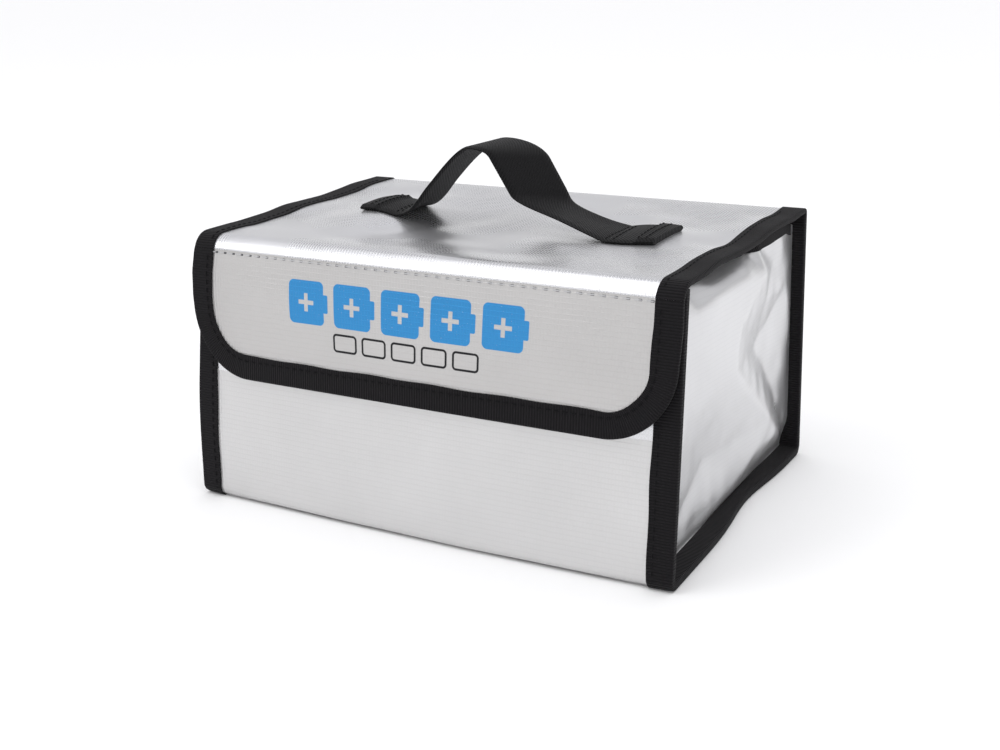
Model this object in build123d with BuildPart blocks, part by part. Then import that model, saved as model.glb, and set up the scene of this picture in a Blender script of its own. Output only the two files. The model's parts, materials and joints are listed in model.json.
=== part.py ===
"""Sewn fire-proof bag for model batteries: an open box of coated cloth with a hinged
lid, a front flap that closes on hook-and-loop tape, and a webbing carry handle.

Millimetres. +X runs along the bag's length, the front with its flap faces -Y, +Z is up,
and the origin is the centre of the base, on the surface that the bag stands on.
"""
from build123d import *
from math import atan, cos, sin, sqrt
import os

os.makedirs("parts", exist_ok=True)

# ---------------------------------------------------------------- driving dimensions
bag_length = 215.0        # over the bound edges at the two ends
bag_depth = 153.0         # over the bindings, at the base
bag_height = 112.0        # base to the top of the closed lid
front_set_back = 9.4      # how far the front wall leans back by the top
back_set_back = 6.0       # how far the back wall leans forward by the top

cloth = 0.6               # coated glass cloth
lining = 0.6              # inner layer of the same cloth
tape = 0.6                # edging tape, one leg
tape_leg = 10.0           # edging tape of 20 mm, folded over the raw edges
inner_edge_radius = 0.8   # smallest bend, inside all the layers

mouth_gap = 0.4           # closed lid to the rim of the box
lid_front_gap = 1.6       # inside of the lid's front fold to the front wall
seam_below_top = 5.6      # stitched seam between lid and flap, below the lid's top
fold_gap = 0.3            # clearance between two parts at a fold

flap_width = 212.0
flap_drop = 52.0          # seam to the flap's lower edge
flap_corner = 27.0        # radius of the flap's lower corners

yoke_lap = 3.0            # seam across the front wall, above the flap's lower edge
closure_length = 160.0    # hook tape and loop tape
closure_width = 20.0
closure_pile = 0.9        # thickness of either tape
closure_clearance = 2.0   # flap binding to the hook tape

webbing_width = 30.0
webbing = 1.5             # webbing thickness
handle_rise = 32.0        # crest of the handle's middle line above the lid cloth
handle_span = 150.0       # over the sewn ends
handle_tab = 25.0         # length of each sewn end
handle_flat = 44.0        # length of the crest between the two slopes
handle_bend = 16.0        # bend radius of the handle's middle line
handle_y = -3.0           # middle of the webbing across the lid
handle_part = 33.0        # half length of the piece that sways

stitch_length = 2.4
stitch_pitch = 3.6
stitch_width = 0.5
stitch_height = 0.25      # how far the thread stands out of the cloth
seam_margin = 2.2         # stitch line to the edge that it holds

# ------------------------------------------------------------------ derived distances
cloth_at = tape                             # depths below the binding's outer face
lining_at = cloth_at + cloth
gusset_lining_at = lining_at + lining
gusset_cloth_at = gusset_lining_at + lining
inner_leg_at = gusset_cloth_at + cloth
wall_stack = inner_leg_at + tape
edge_radius = inner_edge_radius + wall_stack

half_length = bag_length / 2
half_cloth = half_length - tape             # cloth ends inside the folded tape
gusset_x = half_length - tape_leg           # outer face of the recessed end panels
front_slope = front_set_back / bag_height
back_slope = back_set_back / bag_height
front_lean = atan(front_slope)

lid_stack = 2 * tape + cloth + lining
lid_edge_radius = inner_edge_radius + lid_stack
lid_stand_off = lid_front_gap + lid_stack - tape    # lid's outer face beyond the wall's binding
rim_height = bag_height - lid_stack - mouth_gap
wall_top = rim_height - tape                # raw edges of the walls, under the rim tape
seam_height = bag_height - seam_below_top

flap_back = lid_front_gap                   # inner leg of the flap's binding
flap_face = flap_back + lid_stack
flap_top = (seam_height - flap_face * sin(front_lean)) / cos(front_lean) - fold_gap
flap_bottom = flap_top - flap_drop
yoke_seam = flap_bottom * cos(front_lean) + yoke_lap


def front_y(height, depth):
    """Y of the front wall, a given depth in from the outer face of its binding."""
    return -bag_depth / 2 + height * front_slope + depth * sqrt(1 + front_slope**2)


def back_y(height, depth):
    """Y of the back wall, a given depth in from the outer face of its binding."""
    return bag_depth / 2 - height * back_slope - depth * sqrt(1 + back_slope**2)


fold_y = back_y(bag_height, 0)              # the lid folds along the back's top edge


def wall_section(depth, top=wall_top):
    """Everything inside the front, base and back walls at one depth, as a YZ outline."""
    with BuildSketch() as section:
        with BuildLine():
            Polyline(
                (front_y(depth, depth), depth),
                (front_y(top, depth), top),
                (back_y(top, depth), top),
                (back_y(depth, depth), depth),
                close=True,
            )
        make_face()
        fillet(section.vertices().group_by(Axis.Y)[0], radius=edge_radius - depth)
    return section.sketch


def lid_section(depth):
    """Everything under the lid and behind its front fold at one depth, as a YZ outline."""
    top = bag_height - depth
    wall_depth = depth - lid_stand_off
    with BuildSketch() as section:
        with BuildLine():
            Polyline(
                (fold_y, top),
                (front_y(top, wall_depth), top),
                (front_y(seam_height, wall_depth), seam_height),
                (fold_y, seam_height),
                close=True,
            )
        make_face()
        front_top = section.vertices().group_by(Axis.Y)[-1].sort_by(Axis.X)[0]
        fillet(front_top, radius=lid_edge_radius - depth)
    return section.sketch


def layer(section, depth, thickness):
    """One layer of a wall: the outline at its outer face, less the one at its inner face."""
    with BuildSketch() as band:
        add(section(depth))
        add(section(depth + thickness), mode=Mode.SUBTRACT)
    return band.sketch


# ------------------------------------------------- the strip: front, base and back walls
with BuildPart() as shell_wrap:
    with BuildSketch(Plane.YZ.offset(-half_cloth)):
        add(layer(wall_section, cloth_at, cloth))
        with Locations((-bag_depth, yoke_seam)):
            Rectangle(bag_depth, bag_height, align=Align.MIN, mode=Mode.SUBTRACT)
    extrude(amount=2 * half_cloth)
shell_wrap.part.label = "shell_wrap"
export_step(shell_wrap.part, "parts/shell_wrap.step")

with BuildPart() as front_yoke:
    with BuildSketch(Plane.YZ.offset(-half_cloth)):
        add(layer(wall_section, cloth_at, cloth))
        with Locations((-bag_depth, yoke_seam)):
            Rectangle(bag_depth, bag_height, align=Align.MIN, mode=Mode.INTERSECT)
    extrude(amount=2 * half_cloth)
front_yoke.part.label = "front_yoke"
export_step(front_yoke.part, "parts/front_yoke.step")

with BuildPart() as shell_lining:
    with BuildSketch(Plane.YZ.offset(-half_cloth)):
        add(layer(wall_section, lining_at, lining))
    extrude(amount=2 * half_cloth)
shell_lining.part.label = "shell_lining"
export_step(shell_lining.part, "parts/shell_lining.step")

# ------------------------- the end panels: trays whose rims are sewn against the strip
with BuildPart() as right_gusset:
    with BuildSketch(Plane.YZ.offset(gusset_x - cloth)):
        add(wall_section(gusset_cloth_at))
    extrude(amount=cloth)
    with BuildSketch(Plane.YZ.offset(gusset_x)):
        add(layer(wall_section, gusset_cloth_at, cloth))
    extrude(amount=half_cloth - gusset_x)
right_gusset.part.label = "right_gusset"
export_step(right_gusset.part, "parts/right_gusset.step")

with BuildPart() as right_gusset_lining:
    with BuildSketch(Plane.YZ.offset(gusset_x - cloth - lining)):
        add(wall_section(gusset_lining_at))
    extrude(amount=lining)
    with BuildSketch(Plane.YZ.offset(gusset_x - cloth)):
        add(layer(wall_section, gusset_lining_at, lining))
    extrude(amount=half_cloth - gusset_x + cloth)
right_gusset_lining.part.label = "right_gusset_lining"
export_step(right_gusset_lining.part, "parts/right_gusset_lining.step")

# -------------------- the edging tape that binds strip and end panel, folded over both
with BuildPart() as right_body_binding:
    with BuildSketch(Plane.YZ.offset(gusset_x)):
        add(layer(wall_section, 0, wall_stack))
    extrude(amount=tape_leg)
    with BuildSketch(Plane.YZ.offset(gusset_x)):
        add(layer(wall_section, cloth_at, inner_leg_at - cloth_at))
    extrude(amount=half_cloth - gusset_x, mode=Mode.SUBTRACT)
right_body_binding.part.label = "right_body_binding"
export_step(right_body_binding.part, "parts/right_body_binding.step")

# ------------------------------------------- tape over the rim of each end panel
rim_tape_in = gusset_x - cloth - lining - tape
with BuildPart() as right_mouth_binding:
    with BuildSketch(Plane.YZ.offset(rim_tape_in)):
        add(wall_section(wall_stack + mouth_gap, rim_height))
        with Locations((0, rim_height - tape_leg)):
            Rectangle(2 * bag_depth, bag_height, align=(Align.CENTER, Align.MIN), mode=Mode.INTERSECT)
    extrude(amount=2 * tape + cloth + lining)
    with BuildSketch(Plane.YZ.offset(rim_tape_in + tape)):
        add(wall_section(wall_stack))
    extrude(amount=cloth + lining, mode=Mode.SUBTRACT)
right_mouth_binding.part.label = "right_mouth_binding"
export_step(right_mouth_binding.part, "parts/right_mouth_binding.step")

# ------------------------------------------------- the left end mirrors the right one
left_end = {
    "left_gusset": right_gusset,
    "left_gusset_lining": right_gusset_lining,
    "left_body_binding": right_body_binding,
    "left_mouth_binding": right_mouth_binding,
}
for left_name, right_piece in left_end.items():
    with BuildPart() as left_piece:
        mirror(right_piece.part, about=Plane.YZ, mode=Mode.ADD)
    left_piece.part.label = left_name
    export_step(left_piece.part, f"parts/{left_name}.step")

# --------------------------------------------------- tape over the front wall's rim
with BuildPart() as front_mouth_binding:
    with BuildSketch(Plane.YZ.offset(-rim_tape_in)):
        add(wall_section(0, rim_height))
        add(wall_section(lining_at + lining + tape, rim_height), mode=Mode.SUBTRACT)
        add(layer(wall_section, cloth_at, cloth + lining), mode=Mode.SUBTRACT)
        with Locations((-bag_depth, rim_height - tape_leg)):
            Rectangle(bag_depth, bag_height, align=Align.MIN, mode=Mode.INTERSECT)
    extrude(amount=2 * rim_tape_in)
front_mouth_binding.part.label = "front_mouth_binding"
export_step(front_mouth_binding.part, "parts/front_mouth_binding.step")

# ------------------------------------------------------------- the lid, two layers
lid_layers = {"lid_panel": (cloth_at, cloth), "lid_lining": (lining_at, lining)}
for lid_name, (depth, thickness) in lid_layers.items():
    with BuildPart() as lid_layer:
        with BuildSketch(Plane.YZ.offset(-half_cloth)):
            add(layer(lid_section, depth, thickness))
        extrude(amount=2 * half_cloth)
    lid_layer.part.label = lid_name
    export_step(lid_layer.part, f"parts/{lid_name}.step")

with BuildPart() as lid_right_binding:
    with BuildSketch(Plane.YZ.offset(half_length - tape_leg)):
        add(layer(lid_section, 0, lid_stack))
    extrude(amount=tape_leg)
    with BuildSketch(Plane.YZ.offset(half_length - tape_leg)):
        add(layer(lid_section, cloth_at, cloth + lining))
    extrude(amount=tape_leg - tape, mode=Mode.SUBTRACT)
lid_right_binding.part.label = "lid_right_binding"
export_step(lid_right_binding.part, "parts/lid_right_binding.step")

with BuildPart() as lid_left_binding:
    mirror(lid_right_binding.part, about=Plane.YZ, mode=Mode.ADD)
lid_left_binding.part.label = "lid_left_binding"
export_step(lid_left_binding.part, "parts/lid_left_binding.step")

# ---------------------- the flap, in the plane of the front wall's cloth, facing out
front_plane = Plane(
    origin=(0, front_y(0, cloth_at), 0),
    x_dir=(1, 0, 0),
    z_dir=(0, -cos(front_lean), sin(front_lean)),
)


def flap_outline(inset):
    """The flap seen from the front, drawn in from its edge by one distance."""
    half_width = flap_width / 2 - inset
    lower_edge = flap_bottom + inset
    with BuildSketch() as outline:
        with BuildLine():
            Polyline(
                (-half_width, flap_top),
                (-half_width, lower_edge),
                (half_width, lower_edge),
                (half_width, flap_top),
                close=True,
            )
        make_face()
        fillet(outline.vertices().group_by(Axis.Y)[0], radius=flap_corner - inset)
    return outline.sketch


with BuildPart() as flap_panel:
    with BuildSketch(front_plane.offset(flap_face - tape - cloth)):
        add(flap_outline(tape))
    extrude(amount=cloth)
flap_panel.part.label = "flap_panel"
export_step(flap_panel.part, "parts/flap_panel.step")

with BuildPart() as flap_lining:
    with BuildSketch(front_plane.offset(flap_back + tape)):
        add(flap_outline(tape))
    extrude(amount=lining)
flap_lining.part.label = "flap_lining"
export_step(flap_lining.part, "parts/flap_lining.step")

with BuildPart() as flap_binding:
    with BuildSketch(front_plane.offset(flap_back)):
        add(flap_outline(0))
        add(flap_outline(tape_leg), mode=Mode.SUBTRACT)
    extrude(amount=lid_stack)
    with BuildSketch(front_plane.offset(flap_back + tape)):
        add(flap_outline(tape))
    extrude(amount=cloth + lining, mode=Mode.SUBTRACT)
flap_binding.part.label = "flap_binding"
export_step(flap_binding.part, "parts/flap_binding.step")

# -------------------------------- hook tape inside the flap, loop tape on the front
closure_middle = flap_bottom + tape_leg + closure_clearance + closure_width / 2
with BuildPart() as hook_strip:
    with BuildSketch(front_plane.offset(flap_back + tape - closure_pile)):
        with Locations((0, closure_middle)):
            RectangleRounded(closure_length, closure_width, closure_clearance)
    extrude(amount=closure_pile)
hook_strip.part.label = "hook_strip"
export_step(hook_strip.part, "parts/hook_strip.step")

with BuildPart() as loop_strip:
    with BuildSketch(front_plane):
        with Locations((0, closure_middle)):
            RectangleRounded(closure_length, closure_width, closure_clearance)
    extrude(amount=closure_pile)
loop_strip.part.label = "loop_strip"
export_step(loop_strip.part, "parts/loop_strip.step")


def stitch_row(length):
    """A straight row of thread stitches along X, centred where it is placed."""
    with BuildSketch() as row:
        with GridLocations(stitch_pitch, stitch_pitch, int(length / stitch_pitch), 1):
            Rectangle(stitch_length, stitch_width)
    return row.sketch


with BuildPart() as flap_seam_stitches:
    with BuildSketch(front_plane.offset(flap_face - tape)):
        with Locations((0, flap_top - seam_margin)):
            add(stitch_row(flap_width - 2 * tape_leg - stitch_length))
    extrude(amount=stitch_height)
flap_seam_stitches.part.label = "flap_seam_stitches"
export_step(flap_seam_stitches.part, "parts/flap_seam_stitches.step")

with BuildPart() as yoke_stitches:
    with BuildSketch(front_plane):
        with Locations((0, yoke_seam / cos(front_lean) + seam_margin)):
            add(stitch_row(2 * gusset_x - stitch_length))
    extrude(amount=stitch_height)
yoke_stitches.part.label = "yoke_stitches"
export_step(yoke_stitches.part, "parts/yoke_stitches.step")

# -------------------------------------------- the webbing handle across the lid
lid_face = bag_height - tape                # top of the lid's cloth
strap_at = 1.5 * webbing                    # middle of the strap, over its turned-under end
tab_inner = handle_span / 2 - handle_tab

with BuildPart() as handle:
    with BuildSketch(Plane.XZ.offset(-handle_y - webbing_width / 2)) as strap_side:
        with BuildLine() as middle_line:
            FilletPolyline(
                (-handle_span / 2, lid_face + strap_at),
                (-tab_inner, lid_face + strap_at),
                (-handle_flat / 2, lid_face + handle_rise),
                (handle_flat / 2, lid_face + handle_rise),
                (tab_inner, lid_face + strap_at),
                (handle_span / 2, lid_face + strap_at),
                radius=handle_bend,
            )
        trace(middle_line.line, line_width=webbing)
        turned_under = handle_span / 2 - handle_tab / 2
        with Locations((-turned_under, lid_face + webbing / 2), (turned_under, lid_face + webbing / 2)):
            Rectangle(handle_tab, webbing)
    extrude(amount=webbing_width)

grip_space = Location((0, handle_y, lid_face + handle_rise)) * Box(
    2 * handle_part, 2 * webbing_width, 4 * handle_rise
)
with BuildPart() as handle_grip:
    add(handle.part)
    add(grip_space, mode=Mode.INTERSECT)
handle_grip.part.label = "handle_grip"
export_step(handle_grip.part, "parts/handle_grip.step")

for side_name, side in (("left", Axis.X), ("right", Axis((0, 0, 0), (-1, 0, 0)))):
    with BuildPart() as handle_anchor:
        add((handle.part - grip_space).solids().sort_by(side)[0])
    handle_anchor.part.label = f"{side_name}_handle_anchor"
    export_step(handle_anchor.part, f"parts/{side_name}_handle_anchor.step")

with BuildPart() as handle_stitches:
    with BuildSketch(Plane.XY.offset(lid_face + 2 * webbing)):
        for end in (-1, 1):
            with Locations((end * (handle_span / 2 - seam_margin), handle_y)):
                with GridLocations(stitch_pitch, stitch_pitch, 1, int(webbing_width / stitch_pitch)):
                    Rectangle(stitch_width, stitch_length)
            with Locations((end * (tab_inner + handle_bend / 2), handle_y)):
                with GridLocations(stitch_pitch, stitch_pitch, 1, int(webbing_width / stitch_pitch)):
                    Rectangle(stitch_width, stitch_length)
    extrude(amount=stitch_height)
handle_stitches.part.label = "handle_stitches"
export_step(handle_stitches.part, "parts/handle_stitches.step")
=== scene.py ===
import json
import math
import random

import bmesh
import bpy
import numpy as np
from mathutils import Matrix, Vector, geometry


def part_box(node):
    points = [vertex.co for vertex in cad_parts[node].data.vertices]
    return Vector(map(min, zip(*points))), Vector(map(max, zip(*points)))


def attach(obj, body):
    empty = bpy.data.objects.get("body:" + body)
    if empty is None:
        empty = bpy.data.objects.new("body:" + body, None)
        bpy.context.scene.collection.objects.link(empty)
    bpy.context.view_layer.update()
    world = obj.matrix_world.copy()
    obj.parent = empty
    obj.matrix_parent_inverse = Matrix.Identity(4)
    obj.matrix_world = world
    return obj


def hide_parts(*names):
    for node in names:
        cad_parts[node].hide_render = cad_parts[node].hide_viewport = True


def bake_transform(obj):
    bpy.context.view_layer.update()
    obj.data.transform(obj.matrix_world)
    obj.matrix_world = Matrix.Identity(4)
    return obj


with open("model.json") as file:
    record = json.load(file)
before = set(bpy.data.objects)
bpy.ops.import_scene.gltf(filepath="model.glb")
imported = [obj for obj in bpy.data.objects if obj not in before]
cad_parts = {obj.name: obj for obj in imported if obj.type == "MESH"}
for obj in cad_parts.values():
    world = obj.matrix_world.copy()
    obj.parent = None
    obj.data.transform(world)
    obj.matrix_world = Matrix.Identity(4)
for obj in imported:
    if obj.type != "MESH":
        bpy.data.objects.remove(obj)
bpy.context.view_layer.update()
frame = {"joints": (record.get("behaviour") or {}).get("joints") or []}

# ------------------------------------------------------------------ floor, light, camera
# The bag stands on a plain white sweep. A big soft light hangs over its front left, a
# weaker one fills from the right, and the camera looks down on the front right corner.
MM = 0.001
scene = bpy.context.scene
scene.view_settings.view_transform = "Standard"
scene.view_settings.look = "None"

floor_mesh = bpy.data.meshes.new("floor")
floor_half = 30.0
floor_mesh.from_pydata(
    [(x * floor_half, y * floor_half, 0) for x, y in ((-1, -1), (1, -1), (1, 1), (-1, 1))], [], [(0, 1, 2, 3)]
)
floor = bpy.data.objects.new("floor", floor_mesh)
scene.collection.objects.link(floor)
floor_paint = bpy.data.materials.new("white_sweep")
floor_paint.use_nodes = True
floor_shader = floor_paint.node_tree.nodes["Principled BSDF"]
floor_shader.inputs["Base Color"].default_value = (0.93, 0.93, 0.93, 1)
floor_shader.inputs["Roughness"].default_value = 0.9
floor_mesh.materials.append(floor_paint)

world = bpy.data.worlds.new("studio")
scene.world = world
world.use_nodes = True
sky = world.node_tree
sky_place = sky.nodes.new("ShaderNodeTexCoord")
sky_split = sky.nodes.new("ShaderNodeSeparateXYZ")
sky_ramp = sky.nodes.new("ShaderNodeValToRGB")
sky.links.new(sky_place.outputs["Generated"], sky_split.inputs[0])
sky.links.new(sky_split.outputs["Z"], sky_ramp.inputs["Fac"])
sky.links.new(sky_ramp.outputs["Color"], sky.nodes["Background"].inputs["Color"])
sky_ramp.color_ramp.elements[0].position = 0.12
sky_ramp.color_ramp.elements[0].color = (1.0, 1.0, 1.0, 1)
sky_ramp.color_ramp.elements[1].position = 0.8
sky_ramp.color_ramp.elements[1].color = (0.42, 0.42, 0.44, 1)
for height, grey in ((0.29, 0.42), (0.38, 0.80), (0.5, 0.85)):
    step = sky_ramp.color_ramp.elements.new(height)
    step.color = (grey, grey, grey * 1.02, 1)
sky.nodes["Background"].inputs["Strength"].default_value = 1.0


def soft_light(name, place, target, size, power):
    """A square soft box, in metres and watts, turned to its target."""
    lamp = bpy.data.lights.new(name, "AREA")
    lamp.shape = "SQUARE"
    lamp.size = size
    lamp.energy = power
    holder = bpy.data.objects.new(name, lamp)
    scene.collection.objects.link(holder)
    holder.location = place
    holder.rotation_euler = (Vector(target) - Vector(place)).to_track_quat("-Z", "Y").to_euler()


soft_light("key_light", (-0.9, -1.0, 1.3), (0, 0, 0.05), 1.0, 7)
soft_light("fill_light", (1.5, -0.5, 0.7), (0, 0, 0.05), 0.8, 4)
overhead = bpy.data.lights.new("overhead", "SUN")
overhead.energy = 1.5
overhead.angle = math.radians(70)
overhead_holder = bpy.data.objects.new("overhead", overhead)
scene.collection.objects.link(overhead_holder)

camera_azimuth, camera_elevation, camera_roll = (math.radians(a) for a in (29.16, 18.2, -1.42))
camera_distance = 0.572
camera_lens, camera_sensor = 48.55, 36      # millimetres
camera_aim = (-0.00172, -0.01032)          # right and up of the body's middle, in the view
body_middle = Vector((0, 0, 0.0555))
back = Vector(
    (
        math.sin(camera_azimuth) * math.cos(camera_elevation),
        -math.cos(camera_azimuth) * math.cos(camera_elevation),
        math.sin(camera_elevation),
    )
)
level_right = Vector((0, 0, 1)).cross(back).normalized()
level_up = back.cross(level_right)
right = level_right * math.cos(camera_roll) + level_up * math.sin(camera_roll)
up = level_up * math.cos(camera_roll) - level_right * math.sin(camera_roll)
camera_data = bpy.data.cameras.new("camera")
camera_data.sensor_width = camera_sensor
camera_data.lens = camera_lens
camera = bpy.data.objects.new("camera", camera_data)
scene.collection.objects.link(camera)
camera_place = body_middle + right * camera_aim[0] + up * camera_aim[1] + back * camera_distance
camera.matrix_world = Matrix.Translation(camera_place) @ Matrix((right, up, back)).transposed().to_4x4()
scene.camera = camera

# ------------------------------------------------------- the strip: front, base and back
# One strip of coated glass cloth runs down the front, under the base, up the back, over
# the lid and down the flap. Every layer, tape and stitch on it is placed by its distance
# along the strip, its distance across it and its depth below the tape's outer face.
half_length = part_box("right_body_binding")[1][0] / MM
lid_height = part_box("lid_right_binding")[1][2] / MM
fold_joint, seam_joint, sway_joint = (
    next(j for j in frame["joints"] if j["name"] == name) for name in ("lid_fold", "flap_fold", "handle_sway")
)
fold_y = fold_joint["pos_m"][1] / MM
seam_z = seam_joint["pos_m"][2] / MM
half_base = 76.5
front_slope = 9.4 / lid_height
layer = 0.6                                 # tape, cloth and lining are all this thick
lid_stack = 4 * layer
wall_stack = 6 * layer
flap_stand_off = 3.4
rim_z = 108.6
flap_end_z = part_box("flap_binding")[0][2] / MM + 0.3


def front_y(z, out=0.0):
    """Y of the front wall at a height, a distance outside its binding's face."""
    return -half_base + z * front_slope - out * math.hypot(1, front_slope)


class RoundedLine:
    """A flat line through corners that are rounded, followed by distance."""

    def __init__(self, corners, radii):
        corners = [np.array(c, float) for c in corners]
        self.parts, self.marks = [], [0.0]
        start, distance = corners[0], 0.0
        for corner, after, radius in zip(corners[1:-1], corners[2:], radii):
            heading = (corner - start) / np.linalg.norm(corner - start)
            leaving = (after - corner) / np.linalg.norm(after - corner)
            turn = math.atan2(heading[0] * leaving[1] - heading[1] * leaving[0], heading @ leaving)
            cut = radius * math.tan(abs(turn) / 2)
            run = np.linalg.norm(corner - start) - cut
            self.parts.append((distance, "run", start, heading))
            distance += run
            side = math.copysign(1, turn)
            centre = corner - heading * cut + side * radius * np.array((-heading[1], heading[0]))
            self.parts.append((distance, "arc", centre, (radius, side, heading)))
            self.marks.append(distance + radius * abs(turn) / 2)
            distance += radius * abs(turn)
            start = corner + leaving * cut
        heading = (corners[-1] - start) / np.linalg.norm(corners[-1] - start)
        self.parts.append((distance, "run", start, heading))
        self.length = distance + np.linalg.norm(corners[-1] - start)
        self.marks.append(self.length)

    def at(self, distance):
        """Places and directions, each with a last axis of 2."""
        distance = np.asarray(distance, float)
        place, direction = np.zeros(distance.shape + (2,)), np.zeros(distance.shape + (2,))
        ends = [part[0] for part in self.parts[1:]] + [math.inf]
        for (start, kind, origin, more), end in zip(self.parts, ends):
            low = -math.inf if start == 0 else start
            here = (distance >= low) & (distance < end)
            along = distance[here][:, None] - start
            if kind == "run":
                place[here] = origin + more * along
                direction[here] = more
            else:
                radius, side, heading = more
                angle = side * along / radius
                axes = np.array((heading, (-heading[1], heading[0])))
                turned = np.hstack((np.cos(angle), np.sin(angle))) @ axes
                direction[here] = turned
                place[here] = origin + side * radius * np.stack((turned[:, 1], -turned[:, 0]), -1)
        return place, direction


strip_line = RoundedLine(
    [
        (front_y(rim_z), rim_z),
        (-half_base, 0),
        (half_base, 0),
        (fold_y, lid_height),
        (front_y(lid_height, flap_stand_off), lid_height),
        (front_y(flap_end_z, flap_stand_off), flap_end_z),
    ],
    [4.4, 4.4, 2.4, 8.5],
)
front_foot, back_foot, back_fold, front_fold = strip_line.marks[1:5]
strip_end = strip_line.length
lean = math.hypot(1, front_slope)


def on_front(z):
    """Distance along the strip to a height on the front wall."""
    return (rim_z - z) * lean


def on_back(z):
    """Distance along the strip to a height on the back wall."""
    return back_fold - (lid_height - z) * math.hypot(1, 6.0 / lid_height)


def on_flap(z):
    """Distance along the strip to a height on the flap."""
    return strip_end - (z - flap_end_z) * lean


def bump(value, centre, width):
    """A smooth bump, 1 at its centre."""
    return np.exp(-(((value - centre) / width) ** 2))


def ease(value, low, high):
    """0 below low, 1 above high, smooth between."""
    t = np.clip((value - low) / (high - low), 0, 1)
    return t * t * (3 - 2 * t)


def ripple(u, v, pitch, seed):
    """Slow uneven waves, about -1 to 1, the same for the same seed."""
    draw = random.Random(seed)
    total = np.zeros(np.broadcast(u, v).shape)
    for _ in range(6):
        angle, phase = draw.uniform(0, math.pi), draw.uniform(0, 2 * math.pi)
        step = 2 * math.pi / (pitch * draw.uniform(0.7, 1.6))
        total = total + np.sin((u * math.cos(angle) + v * math.sin(angle)) * step + phase)
    return total / 3.2


def swell(s, x):
    """How far the strip stands out from its flat panels."""
    across = 1 - np.clip(np.abs(x) / half_length, 0, 1) ** 2
    # The front wall bellies out above its foot, the base draws up and the back wall bellies out.
    front = ease(s, 0, 40) * (1 - ease(s, front_foot + 6, front_foot + 30))
    out = front * across * (2.2 * bump(s, front_foot - 10, 45) + 0.35 * ripple(x, s, 70, 3))
    base = ease(s, front_foot + 6, front_foot + 30) * (1 - ease(s, back_foot - 30, back_foot - 6))
    out = out - base * across * 0.8
    rear = ease(s, back_foot + 4, back_foot + 30) * (1 - ease(s, back_fold - 30, back_fold - 10))
    out = out + rear * across * (2.0 + 0.8 * ripple(x, s, 60, 5))
    # The lid sags in waves, lifts at the handle's ends and has a valley and a ridge ahead of them.
    lid = ease(s, back_fold + 4, back_fold + 26) * (1 - ease(s, front_fold - 26, front_fold - 6))
    y = fold_y - (s - back_fold)
    sag = -2.2 * across * (0.7 + 0.3 * np.cos(y / 22))
    sag = sag + 0.62 * ripple(x, y, 52, 8) + 0.16 * ripple(x, y, 24, 9)
    lift = 4.2 * bump(x, -54, 18) * bump(y, -1, 26) + 1.2 * bump(x, 66, 15) * bump(y, -3, 20)
    valley = -1.3 * bump(x - 0.5 * y, -22, 12) * bump(y, -22, 26)
    valley = valley + 1.0 * bump(x + 0.4 * y, 22, 14) * bump(y, -28, 22)
    out = out + lid * (sag + lift + valley)
    flap = ease(s, front_fold + 8, front_fold + 22)
    out = out + flap * (0.45 * across + 0.3 * ripple(x, s, 65, 13))
    return out


def spread(s, x):
    """The flap is a little wider than its pattern at the top, and bows out on its left."""
    down = s - (strip_end - (seam_z - flap_end_z) * lean)
    left = np.interp(down, (0.01, 0.04, 10, 20, 30, 42, 52), (0, 1.6, 3.0, 2.6, 1.0, -0.6, -1.0))
    right = np.interp(down, (0.01, 0.04, 10, 24, 40), (0, 1.6, 1.8, 0.8, 0.0))
    return x / half_length * np.where(x < 0, left, right)


def strip(s, x, depth):
    """Places on the strip in millimetres, as an array whose last axis is X, Y, Z."""
    s, x, depth = np.broadcast_arrays(np.asarray(s, float), np.asarray(x, float), np.asarray(depth, float))
    place, direction = strip_line.at(s)
    x = x + spread(s, x)
    out = swell(s, x) - depth
    y = place[..., 0] + direction[..., 1] * out
    z = np.maximum(place[..., 1] - direction[..., 0] * out, depth)     # nothing sinks into the floor
    return settle(np.stack((x, y, z), -1))


def settle(places):
    """The bag's slight lean at its left front, and a kink in its right bottom edge."""
    x, y, z = places[..., 0], places[..., 1], places[..., 2]
    left_front = ease(-x, 20, 110) * ease(-y, -70, 60)
    inward = left_front * (4.6 * ease(z, 10, 112) + 2.0 * (1 - ease(z, 0, 50)))
    kink = 3.3 * bump(y, 15, 27) * ease(x, 80, 104) * (1 - ease(z, 3, 34))
    return np.stack((x + inward - kink, y, z), -1)


def facing(surface, s, x, step=0.5):
    """Outward unit normals of a surface given by distance along and across."""
    along = surface(s + step, x) - surface(s - step, x)
    across = surface(s, x + step) - surface(s, x - step)
    normal = np.cross(along, across)
    return normal / np.linalg.norm(normal, axis=-1, keepdims=True)


def finish_mesh(name, places, faces, cloth_places, material, normals=None):
    """A smooth mesh object from places in millimetres, with the cloth's own coordinates."""
    mesh = bpy.data.meshes.new(name)
    mesh.from_pydata((np.asarray(places) * MM).tolist(), [], faces)
    mesh.polygons.foreach_set("use_smooth", [True] * len(mesh.polygons))
    held = mesh.attributes.new("cloth_mm", "FLOAT_VECTOR", "POINT")
    held.data.foreach_set("vector", np.asarray(cloth_places, np.float32).ravel())
    mesh.materials.append(material)
    build = bmesh.new()
    build.from_mesh(mesh)
    bmesh.ops.recalc_face_normals(build, faces=build.faces)
    build.to_mesh(mesh)
    build.free()
    if normals is not None:
        mesh.normals_split_custom_set_from_vertices(np.asarray(normals).tolist())
    else:
        mesh.set_sharp_from_angle(angle=math.radians(42))
    piece = bpy.data.objects.new(name, mesh)
    scene.collection.objects.link(piece)
    return piece


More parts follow.
